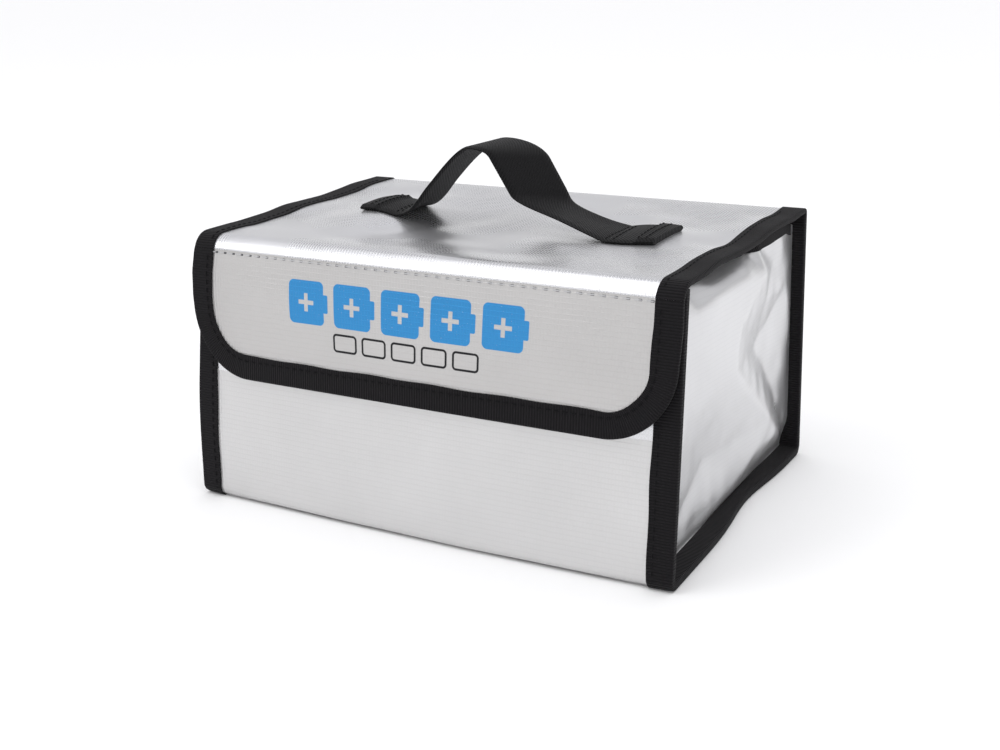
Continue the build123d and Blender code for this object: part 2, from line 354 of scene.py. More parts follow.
def close_sheet(name, outer, inner, quads, cloth, normals, material):
    """A closed sheet from its two sides: the open edges of the quads are joined by a rim."""
    count = len(outer)
    sides = np.concatenate([quads[:, (i, (i + 1) % 4)] for i in range(4)])
    known = {(a, b) for a, b in sides.tolist()}
    rim = [(a, b, b + count, a + count) for a, b in sides.tolist() if (b, a) not in known]
    faces = quads.tolist() + (quads[:, ::-1] + count).tolist() + [face[::-1] for face in rim]
    return finish_mesh(
        name,
        np.concatenate((outer, inner)),
        faces,
        np.concatenate((cloth, cloth)),
        material,
        np.concatenate((normals, -normals)),
    )


def cloth_panel(name, surface, s, x, thickness, material):
    """A closed sheet: surface(along, across, below) gives its outer face at 0 below."""
    rows, columns = s.shape
    normal = facing(lambda a, b: surface(a, b, 0.0), s, x).reshape(-1, 3)
    cloth = np.stack((x, s, np.zeros_like(s)), -1).reshape(-1, 3)
    index = np.arange(rows * columns).reshape(rows, columns)
    quads = np.stack((index[:-1, :-1], index[1:, :-1], index[1:, 1:], index[:-1, 1:]), -1).reshape(-1, 4)
    outer, inner = surface(s, x, 0.0).reshape(-1, 3), surface(s, x, thickness).reshape(-1, 3)
    return close_sheet(name, outer, inner, quads, cloth, normal, material)


class Wiring:
    """Short calls for adding nodes to a tree and joining them."""

    def __init__(self, tree):
        self.tree = tree

    def node(self, kind, **settings):
        made = self.tree.nodes.new("ShaderNode" + kind)
        for name, value in settings.items():
            setattr(made, name, value)
        return made

    def feed(self, socket, value):
        if isinstance(value, bpy.types.NodeSocket):
            self.tree.links.new(value, socket)
        else:
            socket.default_value = value

    def feed_all(self, node, values):
        for socket, value in values.items():
            self.feed(node.inputs[socket], value)
        return node

    def math(self, operation, *values):
        made = self.node("Math", operation=operation)
        return self.feed_all(made, dict(enumerate(values))).outputs[0]

    def plus(self, *values):
        return self.math("ADD", *values)

    def times(self, *values):
        return self.math("MULTIPLY", *values)

    def smooth(self, value, low, high, start=0.0, end=1.0):
        made = self.node("MapRange", interpolation_type="SMOOTHSTEP")
        ends = {"From Min": low, "From Max": high, "To Min": start, "To Max": end}
        return self.feed_all(made, {"Value": value, **ends}).outputs["Result"]

    def noise(self, place, scale, detail=2.0, roughness=0.5, output="Fac"):
        values = {"Vector": place, "Scale": scale, "Detail": detail, "Roughness": roughness}
        return self.feed_all(self.node("TexNoise"), values).outputs[output]

    def mix(self, factor, first, second):
        made = self.node("Mix", data_type="RGBA")
        return self.feed_all(made, {"Factor": factor, 6: first, 7: second}).outputs[2]

    def split(self, place):
        """The X and Y of a place."""
        made = self.feed_all(self.node("SeparateXYZ"), {0: place})
        return made.outputs["X"], made.outputs["Y"]

    def warped(self, place, scale, reach):
        """A place pushed about by slow noise."""
        made = self.node("VectorMath", operation="MULTIPLY_ADD")
        push = self.noise(place, scale, output="Color")
        return self.feed_all(made, {0: push, 1: reach, 2: place}).outputs[0]

    def relief(self, shader, height):
        """Raises a material's surface by a height in millimetres."""
        made = self.feed_all(self.node("Bump"), {"Distance": MM, "Height": height})
        self.feed(shader.inputs["Normal"], made.outputs["Normal"])


def new_material(name):
    """An empty material: itself, its wiring, its shader and the cloth's own coordinates."""
    material = bpy.data.materials.new(name)
    material.use_nodes = True
    wires = Wiring(material.node_tree)
    place = wires.node("Attribute", attribute_name="cloth_mm").outputs["Vector"]
    return material, wires, material.node_tree.nodes["Principled BSDF"], place


def new_group(name, inputs, outputs):
    """An empty node group: its wiring, its input sockets and its output node."""
    tree = bpy.data.node_groups.new(name, "ShaderNodeTree")
    for socket, kind, value in inputs:
        made = tree.interface.new_socket(socket, in_out="INPUT", socket_type="NodeSocket" + kind)
        if value is not None:
            made.default_value = value
    for socket, kind in outputs:
        tree.interface.new_socket(socket, in_out="OUTPUT", socket_type="NodeSocket" + kind)
    return Wiring(tree), tree.nodes.new("NodeGroupInput").outputs, tree.nodes.new("NodeGroupOutput").inputs


def use_group(wiring, name, **values):
    """Places a group in a material, with underscores for the spaces in its socket names."""
    made = wiring.node("Group", node_tree=bpy.data.node_groups[name])
    for socket, value in values.items():
        wiring.feed(made.inputs[socket.replace("_", " ")], value)
    return made.outputs


# Glass threads in a wide grid show through the foil as fine raised lines.
grid, given, made = new_group(
    "scrim grid",
    [
        ("Place", "Vector", None),
        ("Pitch Across", "Float", 1.3),
        ("Pitch Along", "Float", 2.0),
        ("Thread", "Float", 0.28),
    ],
    [("Height", "Float"), ("Groove Shade", "Float")],
)
parts = grid.split(grid.warped(given["Place"], 0.09, (0.5, 0.5, 0)))
threads = []
for part, pitch in zip(parts, ("Pitch Across", "Pitch Along")):
    from_thread = grid.math("PINGPONG", part, grid.times(given[pitch], 0.5))
    threads.append(grid.smooth(from_thread, 0.0, given["Thread"], 1.0, 0.0))
grid.feed(made["Height"], grid.math("MAXIMUM", *threads))
# The lines along the cloth also give the mask for painted shade in the grid's grooves.
grid.feed(made["Groove Shade"], threads[1])

# Handling leaves slow cloudy patches and fine crazing in the foil.
worn, given, made = new_group(
    "foil handling",
    [("Place", "Vector", None), ("Cloud Scale", "Float", 0.02), ("Crease Scale", "Float", 0.05)],
    [("Cloud", "Float"), ("Crease", "Float")],
)
worn.feed(made["Cloud"], worn.noise(given["Place"], given["Cloud Scale"], 3.0))
cells = worn.node("TexVoronoi", feature="DISTANCE_TO_EDGE")
bent = worn.warped(given["Place"], 0.06, (14, 14, 0))
worn.feed_all(cells, {"Vector": bent, "Scale": given["Crease Scale"]})
worn.feed(made["Crease"], worn.smooth(cells.outputs["Distance"], 0.0, 0.06, 1.0, 0.0))


def foil_cloth(name, colour, roughness, grid_depth, crease_depth, print_and_shade_marks=None):
    """Foil-faced glass cloth. The colour is linear and the depths are in millimetres."""
    material, wires, shader, place = new_material(name)
    scrim = use_group(wires, "scrim grid", Place=place)
    wear = use_group(wires, "foil handling", Place=place)
    lighter = [min(1.0, c * 1.06) for c in colour]
    darker = [c * 0.88 for c in colour]
    tint = wires.mix(wear["Cloud"], (*darker, 1), (*lighter, 1))
    # Painted shade: the colour is a little darker along the grid's lines that run down the cloth.
    tint = wires.mix(wires.times(scrim["Groove Shade"], 0.10), tint, (*[c * 0.72 for c in colour], 1))
    rough = wires.plus(wires.times(wear["Cloud"], 0.12), roughness - 0.06)
    rough = wires.plus(rough, wires.times(scrim["Height"], 0.06))
    if print_and_shade_marks:
        tint = print_and_shade_marks(wires, place, tint)
    height = wires.times(scrim["Height"], grid_depth)
    wires.relief(shader, wires.plus(height, wires.times(wear["Crease"], crease_depth)))
    wires.feed_all(shader, {"Base Color": tint, "Roughness": rough, "Metallic": 0.85})
    return material


grid_cloth = foil_cloth("grid_cloth", (0.65, 0.645, 0.645), 0.42, 0.05, 0.006)
smooth_cloth = foil_cloth("smooth_cloth", (0.71, 0.71, 0.73), 0.27, 0.02, 0.006)
lining_cloth = foil_cloth("lining_cloth", (0.60, 0.60, 0.61), 0.46, 0.08, 0.05)

cloth_step = 2.5
cloth_edge = half_length - layer            # raw edges lie inside the folded tape
yoke_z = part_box("front_yoke")[0][2] / MM
split_z = 104.0                             # above this the back's layers are made as separate pieces, not tied to the bag or the lid


def steps(start, end, size=cloth_step):
    """Even steps from start to end, none larger than size."""
    return np.linspace(start, end, max(2, int(math.ceil(abs(end - start) / size)) + 1))


def strip_at(depth):
    """The strip's surface with its outer face at one depth."""
    return lambda s, x, below: strip(s, x, depth + below)


def strip_panel(name, depth, start, end, edge, material, size=cloth_step):
    """A layer of the strip from start to end, reaching edge on both sides."""
    s, x = np.meshgrid(steps(start, end, size), steps(-edge, edge), indexing="ij")
    panel = cloth_panel(name, strip_at(depth), s, x, layer, material)
    return panel, (2 * edge * MM, abs(end - start) * MM)


shell_start, shell_end = on_front(yoke_z), on_back(split_z)
shell_cloth, cut = strip_panel("shell_cloth", layer, shell_start, shell_end, cloth_edge, grid_cloth)
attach(shell_cloth, "bag")
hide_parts("shell_wrap")

shell_liner, cut = strip_panel("shell_liner", 2 * layer, 0, shell_end, cloth_edge, lining_cloth)
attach(shell_liner, "bag")
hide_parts("shell_lining")

# ---------------------------------------------------------------------------- the yoke
# A band of smoother cloth closes the top of the front wall, behind the flap. Its lower
# edge is turned under, laid over the grid cloth and stitched down.
yoke_turn = 1.6
yoke_rise = 0.55


def yoke_surface(s, x, below):
    """The front wall, standing out by a cloth's thickness where the yoke laps the strip."""
    clear_of_tape = 1 - ease(np.abs(x), 91, 96)
    rise = yoke_rise * clear_of_tape * ease(s, shell_start - 9, shell_start - 3)
    return strip(s, x, layer - rise + below)


s, x = np.meshgrid(steps(0, shell_start + yoke_turn, 1.6), steps(-cloth_edge, cloth_edge), indexing="ij")
yoke_cloth = cloth_panel("yoke_cloth", yoke_surface, s, x, layer * 0.9, smooth_cloth)
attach(yoke_cloth, "bag")
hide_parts("front_yoke")

# ----------------------------------------------------------------------- the end panels
# Each end is a smooth panel, sewn in 10 mm behind the bound edges. It was folded flat for
# packing, so it keeps hard creases, and its top bulges out under the lid.
tape_leg = 10.0
inner_leg_short = 1.4                       # the tape's inner leg is narrower than its outer one
gusset_x = half_length - tape_leg + inner_leg_short
gusset_top = 108.0
seam_height = 4.0                           # where it turns out along the base
flange_depth = 3.0                          # the flange lies against the tape's inner leg

# Where the folds meet, as eighths of the way back, eighths of the way up, and millimetres out.
panel_front, panel_low = -76.0, 2.0
eighth_back, eighth_up = 19.0, 13.4
fold_points = {
    "rim_front": (1.5, 8, -6), "rim_middle": (3, 8, -8), "rim_back": (4.5, 8, -6),
    "rim_tight": (5, 8, 0.5), "rim_corner": (6.5, 8, 1.5),
    "crown_front": (1.5, 7, 6), "crown_left": (2.5, 7.25, 8),
    "crown_right": (4, 7.25, 8), "crown_back": (5, 7, 7.5),
    "belly_front": (1.5, 6, 6), "belly": (3.5, 6, 8.5), "belly_back": (5.5, 6, 4),
    "peak": (3.5, 4.5, 7), "low_front": (1.5, 4, 2), "hollow": (5.5, 4.5, -1.5),
    "spine_foot": (6, 2, 4), "dent": (3, 2, -4), "dent_front": (1.5, 1, -2), "dent_back": (5, 0.5, 0.5),
    "side_high": (7, 6, 2), "side_middle": (7.5, 4.5, 2), "side_low": (6.5, 3, -1.5),
    "side_foot": (7.5, 1, -1),
    "shoulder": (6, 7, 2), "back_corner": (8, 0, 0),
}
folds = [
    ("peak", "spine_foot"), ("spine_foot", "back_corner"), ("peak", "low_front"), ("dent", "dent_back"),
    ("dent", "dent_front"), ("crown_front", "crown_left"), ("crown_left", "crown_right"),
    ("crown_right", "crown_back"), ("crown_back", "rim_tight"), ("crown_right", "rim_back"),
    ("belly", "peak"),
]
# The seamed edges stay in line, but the front one is eased out a little near the top.
edge_points = [(0, 0, 0), (0.25, 2, 0), (0.25, 4.5, 0.5), (0.5, 6, 2.5), (0.5, 7, 3), (0.5, 8, 0)]
edge_points += [(7.75, up, 0) for up in (2, 4.5, 6.5, 8)] + [(back, 0, 0) for back in (1.5, 3, 5, 6.5)]
creases = [
    (panel_front + back * eighth_back, panel_low + up * eighth_up, out)
    for back, up, out in list(fold_points.values()) + edge_points
]
fold_pairs = [tuple(list(fold_points).index(end) for end in fold) for fold in folds]


def creased(back, height, table):
    """How far the panel stands out, flat between its creases."""
    points = [Vector((p[0], p[1])) for p in table]
    corners, _, faces = geometry.delaunay_2d_cdt(points, fold_pairs, [], 0, 1e-4)[:3]
    values = []
    for corner in corners:
        nearest = min(range(len(points)), key=lambda i: (points[i] - corner).length)
        values.append(table[nearest][2])
    out, found = np.zeros(back.shape), np.zeros(back.shape, bool)
    for face in faces:
        (ax, ay), (bx, by), (cx, cy) = (corners[i] for i in face)
        whole = (by - cy) * (ax - cx) + (cx - bx) * (ay - cy)
        if abs(whole) < 1e-6:
            continue
        first = ((by - cy) * (back - cx) + (cx - bx) * (height - cy)) / whole
        second = ((cy - ay) * (back - cx) + (ax - cx) * (height - cy)) / whole
        third = 1 - first - second
        inside = (np.minimum(np.minimum(first, second), third) > -1e-6) & ~found
        out[inside] = (first * values[face[0]] + second * values[face[1]] + third * values[face[2]])[inside]
        found |= inside
    for _ in range(2):
        around = np.pad(out, 1, mode="edge")
        out = (around[:-2, 1:-1] + around[2:, 1:-1] + around[1:-1, :-2] + around[1:-1, 2:] + 2 * out) / 6
    return out


def back_fullness(s):
    """How far the panel's seam lies nearer the edge down the back, where the tape is narrow."""
    return 3.2 * ease(s, back_foot + 3, back_foot + 18)


def gusset_grid(side, table):
    """The panel's face between its seams, as rows from the base to the top edge."""
    share = steps(0, 1, 1 / 92)[None, :]
    level = steps(0, 1, 1 / 70)[:, None]
    top = gusset_top - 2.2 * ease(share, 0.90, 0.99)
    height = seam_height + (top - seam_height) * level
    front = strip(on_front(height), side * gusset_x, flange_depth + 1)
    rear = strip(on_back(height), side * (gusset_x + back_fullness(on_back(height))), flange_depth + 1)
    face = front * (1 - share[..., None]) + rear * share[..., None]
    back, up = face[..., 1], face[..., 2]
    to_seam = np.minimum(np.minimum(back - front[..., 1], rear[..., 1] - back), up - seam_height)
    out = 0.88 * creased(back, up, table) + 0.14 * ripple(back, up, 17, 31)
    face[..., 0] += side * out * ease(to_seam, 0, 5)
    return face


def gusset_sheet(name, side, face, below, material):
    """The panel with its flanges turned out along the front, the base and the back."""
    rows, columns = face.shape[:2]
    index = np.arange(rows * columns).reshape(rows, columns)
    quads = [np.stack((index[:-1, :-1], index[:-1, 1:], index[1:, 1:], index[1:, :-1]), -1).reshape(-1, 4)]
    seam = np.concatenate((index[:0:-1, 0], index[0, :-1], index[:, -1]))
    flat_face = face.reshape(-1, 3)
    along = np.concatenate(
        (
            on_front(face[:0:-1, 0, 2]),
            front_foot + (face[0, :-1, 1] - face[0, 0, 1]) / np.ptp(face[0, :, 1]) * (back_foot - front_foot),
            on_back(face[:, -1, 2]),
        )
    )
    cloth = np.stack((face[..., 1], face[..., 2], np.full(face.shape[:2], 40.0 * side)), -1).reshape(-1, 3)
    places, cloths, last = [flat_face], [cloth], seam
    rings = [(0.3, 0.3), (0.0, 1.0), (0.0, 3.5), (0.0, 6.5), (0.0, cloth_edge - gusset_x)]
    for number, (inset, out) in enumerate(rings):
        from_seam = np.maximum(gusset_x + out, gusset_x + back_fullness(along) + 0.3 * (number + 1))
        places.append(strip(along, side * np.minimum(from_seam, cloth_edge), flange_depth + inset))
        cloths.append(cloth[seam] + (out, -out, 0))
        ring = np.arange(len(seam)) + rows * columns + number * len(seam)
        quads.append(np.stack((last[:-1], ring[:-1], ring[1:], last[1:]), -1))
        last = ring
    outer = np.concatenate(places)
    quads, cloth = np.concatenate(quads), np.concatenate(cloths)
    if side < 0:
        quads = quads[:, ::-1]
    across = np.cross(outer[quads[:, 2]] - outer[quads[:, 0]], outer[quads[:, 3]] - outer[quads[:, 1]])
    normals = np.zeros_like(outer)
    for corner in range(4):
        np.add.at(normals, quads[:, corner], across)
    normals /= np.linalg.norm(normals, axis=1, keepdims=True)
    return close_sheet(
        name, outer - normals * below, outer - normals * (below + layer), quads, cloth, normals, material
    )


gusset_cloth = foil_cloth("gusset_cloth", (0.69, 0.69, 0.70), 0.30, 0.010, 0.012)
gusset_faces = {}
turned = [(p[0], p[1], p[2] * 0.8 + 0.6 * math.sin(p[0] * 0.11 + p[1] * 0.07)) for p in creases]
for name, side, table in (("right", 1, creases), ("left", -1, turned)):
    face = gusset_faces[name] = gusset_grid(side, table)
    cut = (2 * (half_base + tape_leg) * MM, (gusset_top + tape_leg) * MM)
    panel = gusset_sheet(name + "_gusset_cloth", side, face, 0.0, gusset_cloth)
    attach(panel, "bag")
    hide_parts(name + "_gusset")
    liner = gusset_sheet(name + "_gusset_liner", side, face, layer, lining_cloth)
    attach(liner, "bag")
    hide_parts(name + "_gusset_lining")

# ------------------------------------------------------------------- the bound edges
# Every raw edge is bound in black ribbed tape, folded in half over all the layers and
# sewn through. On the walls it holds the strip and the end panel together.


ribs, given, made = new_group(
    "woven ribs",
    [("Place", "Vector", None), ("Pitch", "Float", 1.0), ("Slant", "Float", 0.0), ("Yarn", "Float", 0.4)],
    [("Height", "Float"), ("Fluff And Shade", "Float")],
)
across, along = ribs.split(given["Place"])
leaning = ribs.plus(along, ribs.times(across, given["Slant"]))
half_pitch = ribs.times(given["Pitch"], 0.5)
height = ribs.math("DIVIDE", ribs.math("PINGPONG", leaning, half_pitch), half_pitch)
beads = ribs.math("PINGPONG", across, ribs.times(given["Yarn"], 0.5))
beads = ribs.math("DIVIDE", beads, given["Yarn"])
ribs.feed(made["Height"], ribs.plus(ribs.smooth(height, 0.0, 0.9), ribs.times(beads, 0.5)))
ribs.feed(made["Fluff And Shade"], ribs.noise(given["Place"], 0.9, 3.0, 0.7))


def woven(name, colour, roughness, pitch, slant, yarn, depth):
    """A dyed woven tape, with painted shade: its ribs' crests are lighter and its valleys darker. The colour
    is linear and the sizes are in millimetres.
    """
    material, wires, shader, place = new_material(name)
    weave = use_group(wires, "woven ribs", Place=place, Pitch=pitch, Slant=slant, Yarn=yarn)
    dark = [c * 0.55 for c in colour]
    light = [c * 1.7 for c in colour]
    # Painted shade: the ribs' crests are lighter and their valleys darker, varied at random by the fluff
    # noise.
    relief_shading = wires.times(weave["Height"], wires.plus(weave["Fluff And Shade"], 0.2))
    wires.relief(shader, wires.times(weave["Height"], depth))
    wires.feed_all(shader, {"Base Color": wires.mix(relief_shading, (*dark, 1), (*light, 1)), "Roughness": roughness})
    wires.feed_all(shader, {"Specular IOR Level": 0.12, "Sheen Weight": 0.03, "Sheen Roughness": 0.5})
    return material


edging = woven("edging_tape", (0.0065, 0.0058, 0.0068), 0.75, 1.1, 0.0, 0.5, 0.22)


def edge_tape(name, place, alongs, stack, leg=tape_leg, inner_short=inner_leg_short):
    """A tape folded round an edge. place(in, depth) gives places for rows along the tape."""
    radius, turn = 0.8, np.radians((0, 30, 60, 90))
    legs = np.linspace(leg, radius + 1.0, 4)
    outer_in = np.concatenate((legs, radius - radius * np.sin(turn)))
    outer_deep = np.concatenate((np.zeros(4), radius - radius * np.cos(turn)))
    inner_in = np.concatenate((legs, radius - (radius - layer) * np.sin(turn)))
    inner_deep = np.concatenate((np.full(4, layer), radius - (radius - layer) * np.cos(turn)))
    stack = np.broadcast_to(stack, np.shape(alongs))[:, None]
    ins = np.concatenate((outer_in, outer_in[::-1], inner_in, inner_in[::-1]))
    ins = np.broadcast_to(ins, (len(alongs), len(ins))).copy()
    fray = 0.18 * np.sin(alongs * 0.21) + 0.12 * np.sin(alongs * 0.093 + 1)
    ins += np.where(ins > leg - 0.01, fray[:, None], 0)
    inner_leg = leg - np.broadcast_to(inner_short, np.shape(alongs))[:, None]
    ins[:, 8:16] = np.minimum(ins[:, 8:16], inner_leg)
    ins[:, 24:] = np.minimum(ins[:, 24:], inner_leg)
    ones = np.ones_like(stack)
    deep = np.hstack(
        (outer_deep * ones, stack - outer_deep[::-1], inner_deep * ones, stack - inner_deep[::-1])
    )
    points = place(ins, deep)
    rows, half = len(alongs), 2 * len(outer_in)
    order = np.concatenate((np.arange(half), half + np.arange(half)[::-1]))
    points = points[:, order]
    section = points[rows // 2]
    around = np.linalg.norm(np.diff(section, axis=0, prepend=section[:1]), axis=-1).cumsum()
    cloth = np.zeros(points.shape)
    cloth[..., 0], cloth[..., 1] = around, np.asarray(alongs)[:, None]
    index = np.arange(rows * 2 * half).reshape(rows, 2 * half)
    after = np.roll(index, -1, axis=1)
    quads = np.stack((index[:-1], after[:-1], after[1:], index[1:]), -1).reshape(-1, 4).tolist()
    for row in (0, -1):
        for i in range(half - 1):
            quads.append([int(index[row, j]) for j in (i, i + 1, 2 * half - 2 - i, 2 * half - 1 - i)])
    return finish_mesh(name, points.reshape(-1, 3), quads, cloth.reshape(-1, 3), edging)


def side_edge(side, alongs):
    """Places in from one side edge of the strip."""
    return lambda ins, deep: strip(alongs[:, None], side * (half_length - ins), deep)


def tape_stack(s):
    """All the layers at a side edge: the walls hold the end panels too, the lid doesn't."""
    return wall_stack + (lid_stack - wall_stack) * ease(s, on_back(split_z), back_fold + 3)


lid_start = back_fold + 9.5
seam_at = on_flap(seam_z)
rim_leg = 4.6
for name, side in (("left", -1), ("right", 1)):
    alongs = steps(-layer, on_back(split_z), 2.0)
    tape = edge_tape(
        name + "_edge_tape",
        side_edge(side, alongs),
        alongs,
        tape_stack(alongs),
        inner_short=inner_leg_short + back_fullness(alongs),
    )
    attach(tape, "bag")
    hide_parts(name + "_body_binding")
    alongs = steps(on_back(split_z), lid_start, 1.0)
    tape = edge_tape(name + "_fold_tape", side_edge(side, alongs), alongs, tape_stack(alongs))
    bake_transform(tape)
    alongs = steps(lid_start, seam_at, 1.6)
    tape = edge_tape(name + "_lid_tape", side_edge(side, alongs), alongs, tape_stack(alongs))
    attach(tape, "lid")
    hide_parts("lid_" + name + "_binding")

    face = gusset_faces[name][:, 2:-3]
    top, lower = face[-1], face[-8]
    down = (lower - top) / np.linalg.norm(lower - top, axis=1, keepdims=True)
    along_top = np.gradient(top, axis=0)
    out = np.cross(along_top, down) * side
    out /= np.linalg.norm(out, axis=1, keepdims=True)
    if (out[:, 0] * side).mean() < 0:
        out = -out

    def rim_place(ins, deep):
        """In from the panel's top edge, following the panel down."""
        below = down[:, None] * (ins - layer)[..., None]
        return top[:, None] + below + out[:, None] * (layer - deep)[..., None]

    run = np.concatenate(([0], np.linalg.norm(np.diff(top, axis=0), axis=1).cumsum()))
    tape = edge_tape(name + "_rim_tape", rim_place, run, lid_stack, rim_leg)
    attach(tape, "bag")
    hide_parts(name + "_mouth_binding")

alongs = steps(-gusset_x + 1.6, gusset_x - 1.6, 2.5)
front_rim_tape = edge_tape(
    "front_rim_tape", lambda ins, deep: strip(ins - layer, alongs[:, None], deep), alongs, lid_stack
)
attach(front_rim_tape, "bag")
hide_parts("front_mouth_binding")

# ------------------------------------------------------------------------- back fold
# Cloth and lining run on unbroken over the back edge, which is all that hinges the lid.
back_fold_cloth, cut = strip_panel(
    "back_fold_cloth", layer, on_back(split_z), lid_start, cloth_edge, grid_cloth, 0.9
)
back_fold_cloth.data.materials.append(smooth_cloth)          # the lid's cloth is joined on at the edge
held = back_fold_cloth.data.attributes["cloth_mm"].data
for face in back_fold_cloth.data.polygons:
    if min(held[corner].vector.y for corner in face.vertices) > back_fold:
        face.material_index = 1
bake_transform(back_fold_cloth)
back_fold_liner, cut = strip_panel(
    "back_fold_liner", 2 * layer, on_back(split_z), lid_start, cloth_edge, lining_cloth, 0.9
)
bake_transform(back_fold_liner)

# ------------------------------------------------------------------------------- lid
# The lid is the strip's next length: smoother cloth over a plain lining. It dips a
# little between the handle's ends and rolls over the front edge to the flap's seam.
lid_cloth, cut = strip_panel("lid_cloth", layer, lid_start, seam_at, cloth_edge, smooth_cloth, 1.5)
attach(lid_cloth, "lid")
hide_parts("lid_panel")
lid_liner, cut = strip_panel("lid_liner", 2 * layer, lid_start, seam_at, cloth_edge, lining_cloth, 1.5)
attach(lid_liner, "lid")
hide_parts("lid_lining")

# ------------------------------------------------------------------------------ flap
# A separate piece of the grid cloth is sewn under the lid's front edge. Its sides and
# round-cornered bottom are bound in one run of tape, and a plain mark is printed on it.
flap_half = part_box("flap_binding")[1][0] / MM
flap_round = 27.0
flap_top = seam_at + 0.05
seam_row = seam_at + 1.2
seam_pitch = 4.4
seam_row_half = flap_half - 3
blue_row = (-3.0, 89.5, 21.6, 8.6)          # middle across, height, pitch and half height
outline_row = (-2.5, 75.0, 13.4, 3.6)

blocks, given, made = new_group(
    "round block",
    [
        ("Across", "Float", 0.0),
        ("Up", "Float", 0.0),
        ("Half Width", "Float", 8.0),
        ("Half Height", "Float", 8.0),
        ("Corner", "Float", 1.5),
    ],
    [("Distance", "Float")],
)
sides = []
for place_name, half_name in (("Across", "Half Width"), ("Up", "Half Height")):
    beyond = blocks.math("SUBTRACT", blocks.math("ABSOLUTE", given[place_name]), given[half_name])
    sides.append(blocks.plus(beyond, given["Corner"]))
outside = [blocks.math("MAXIMUM", side, 0.0) for side in sides]
length = blocks.math("SQRT", blocks.plus(*(blocks.times(o, o) for o in outside)))
within = blocks.math("MINIMUM", blocks.math("MAXIMUM", *sides), 0.0)
blocks.feed(made["Distance"], blocks.math("SUBTRACT", blocks.plus(length, within), given["Corner"]))


def print_and_hole_shade(wires, place, tint):
    """Five blue cells with a terminal and a plus over a row of outlines, and painted shade in the seam's
    needle holes.
    """
    across, down = wires.split(place)

    def block(over, up, half_wide, half_high, corner):
        sizes = {"Half_Width": half_wide, "Half_Height": half_high, "Corner": corner}
        return use_group(wires, "round block", Across=over, Up=up, **sizes)["Distance"]

    def row(middle, height, pitch, count):
        over = wires.math("SUBTRACT", across, middle)
        up = wires.math("SUBTRACT", on_flap(height), down)
        near = wires.math("LESS_THAN", wires.math("ABSOLUTE", over), pitch * count / 2)
        return wires.math("WRAP", over, pitch / 2, -pitch / 2), up, near

    # A blue cell is a rounded block and a terminal, with the bars of a plus cut out.
    middle, height, pitch, tall = blue_row
    over, up, near = row(middle, height, pitch, 5)
    cell = block(wires.plus(over, 1.0), up, pitch / 2 - 2.4, tall, 2.2)
    nub = block(wires.math("SUBTRACT", over, pitch / 2 - 3.0), up, 1.6, tall * 0.42, 0.7)
    bar = block(wires.plus(over, 1.0), up, 3.6, 0.85, 0.2)
    post = block(wires.plus(over, 1.0), up, 0.85, 3.6, 0.2)
    off_plus = wires.times(wires.math("MINIMUM", bar, post), -1.0)
    shape = wires.math("MAXIMUM", wires.math("MINIMUM", cell, nub), off_plus)
    blue = wires.times(wires.smooth(shape, -0.12, 0.12, 1.0, 0.0), near)
    middle, height, pitch, tall = outline_row
    over, up, near = row(middle, height, pitch, 5)
    line = wires.math("ABSOLUTE", wires.plus(block(over, up, pitch / 2 - 1.2, tall, 1.6), 0.35))
    black = wires.times(wires.smooth(line, 0.34, 0.52, 1.0, 0.0), near)
    # Painted shade: dark dots where the seam's needle holes are.
    over = wires.math("WRAP", wires.plus(across, seam_row_half), seam_pitch / 2, -seam_pitch / 2)
    needle_hole_shade = block(over, wires.math("SUBTRACT", down, seam_row), 0.75, 0.42, 0.3)
    tint = wires.mix(wires.smooth(needle_hole_shade, -0.1, 0.1, 1.0, 0.0), tint, (0.09, 0.09, 0.095, 1))
    # The ink is thin here and there, so the cloth shows through.
    thin = wires.smooth(wires.noise(place, 1.4, 2.0, 0.6), 0.18, 0.34)
    tint = wires.mix(wires.times(blue, thin), tint, (0.045, 0.262, 0.565, 1))
    return wires.mix(wires.times(black, thin), tint, (0.02, 0.02, 0.022, 1))


# The flap is the same grid cloth as the front wall. Its darker colour is painted shade.
shaded_flap_cloth = foil_cloth("shaded_printed_cloth", (0.55, 0.54, 0.535), 0.42, 0.07, 0.006, print_and_hole_shade)


def flap_width_at(s, edge):
    """Half the flap's width at a distance along it, for an edge that far in."""
    reach = flap_round - edge
    down = np.clip(s - (strip_end - flap_round), 0, reach)
    return flap_half - edge - (reach - np.sqrt(np.maximum(reach**2 - down**2, 0)))


def flap_panel(name, depth, edge, material):
    """One layer of the flap, its rows closing up towards the round corners."""
    reach = flap_round - edge
    straight_end = strip_end - flap_round
    curved = straight_end + reach * np.sin(np.radians(steps(4, 90, 4.3)))
    rows = np.concatenate((steps(flap_top, straight_end), curved))
    s, share = np.meshgrid(rows, steps(-1, 1, 1 / 42), indexing="ij")
    panel = cloth_panel(name, strip_at(depth), s, share * flap_width_at(s, edge), layer, material)
    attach(panel, "flap")
    return panel


flap_cloth = flap_panel("flap_cloth", layer, layer, shaded_flap_cloth)
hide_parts("flap_panel")
flap_liner = flap_panel("flap_liner", 2 * layer, layer, lining_cloth)
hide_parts("flap_lining")

side_run = strip_end - flap_round - flap_top
bottom_run = 2 * (flap_half - flap_round)
corner_run = flap_round * math.pi / 2
whole_run = 2 * side_run + 2 * corner_run + bottom_run


def flap_edge(distance):
    """Across, along and the inward direction at distances round the flap's bound edge."""
    top = -side_run - flap_round
    corners = [(-flap_half, top), (-flap_half, 0), (flap_half, 0), (flap_half, top)]
    ring = RoundedLine(corners, [flap_round, flap_round])
    place, heading = ring.at(distance)
    return place[..., 0], strip_end + place[..., 1], heading[..., 1], -heading[..., 0]


alongs = steps(0, whole_run, 1.8)
edge_x, edge_s, in_x, in_s = (value[:, None] for value in flap_edge(alongs))
flap_tape = edge_tape(
    "flap_tape",
    lambda ins, deep: strip(edge_s + in_s * ins, edge_x + in_x * ins, deep),
    alongs,
    lid_stack,
)
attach(flap_tape, "flap")
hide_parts("flap_binding")

